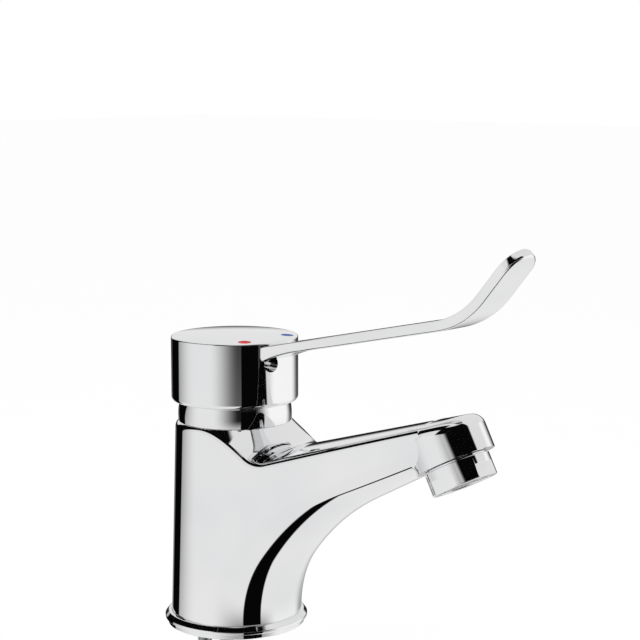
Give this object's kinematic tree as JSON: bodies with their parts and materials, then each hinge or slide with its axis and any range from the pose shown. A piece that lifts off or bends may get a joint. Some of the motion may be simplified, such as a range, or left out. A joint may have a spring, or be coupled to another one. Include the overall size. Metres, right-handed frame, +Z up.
{
  "type": "elbow lever basin tap",
  "caption": "Chrome deck-mounted single-lever basin mixer tap with a tilted spout and a long upturned elbow lever.",
  "frame": {"origin": "centre of the base on the deck's surface", "axes": "+X towards the spout's end and the lever's tip, +Y towards the cold side, +Z up out of the deck"},
  "size_m": [0.1711, 0.058, 0.2067],
  "materials": {
    "chrome_plate": "polished",
    "screw_steel": "satin",
    "fixing_steel": "zinc plated",
    "hot_red": "gloss",
    "cold_blue": "gloss",
    "nut_brass": "machined",
    "shell_plastic": "matte",
    "carrier_plastic": "matte",
    "stop_plastic": "matte",
    "screen_plastic": "satin",
    "disc_ceramic": "lapped",
    "seal_rubber": "matte"
  },
  "bodies": {
    "fixed": {"body": "chrome_plate", "base_ring": "chrome_plate", "neck_ring": "chrome_plate", "outlet_ring": "chrome_plate", "outlet_insert": "shell_plastic", "outlet_screen": "screen_plastic", "outlet_gasket": "seal_rubber", "cartridge_nut": "nut_brass", "cartridge_housing": "shell_plastic", "cartridge_base": "shell_plastic", "port_seals": "seal_rubber", "fixed_disc": "disc_ceramic", "temperature_stop": "stop_plastic", "base_seal": "seal_rubber", "mounting_studs": "fixing_steel", "clamp_washer": "seal_rubber", "clamp_plate": "fixing_steel", "stud_nuts": "fixing_steel"},
    "swivel": {"spindle_carrier": "carrier_plastic", "pivot_pin": "screw_steel"},
    "lever": {"control_lever": "chrome_plate", "control_stem": "screw_steel", "set_screw": "screw_steel", "hot_dot": "hot_red", "cold_dot": "cold_blue"},
    "valve": {"moving_disc": "disc_ceramic", "disc_driver": "carrier_plastic"}
  },
  "joints": [
    {"name": "temperature", "type": "hinge", "parent": "fixed", "child": "swivel", "pos_m": [0, 0, 0.086], "axis": [0, 0, 1], "range_deg": [-45, 45]},
    {"name": "flow", "type": "hinge", "parent": "swivel", "child": "lever", "pos_m": [0, 0, 0.086], "axis": [0, -1, 0], "range_deg": [0, 18]},
    {"name": "valve_slide", "type": "slide", "parent": "swivel", "child": "valve", "axis": [1, 0, 0], "range_m": [0, 0.00556]}
  ],
  "couplings": [
    {"joint": "valve_slide", "follows": "flow", "m_per_rad": 0.017705}
  ]
}
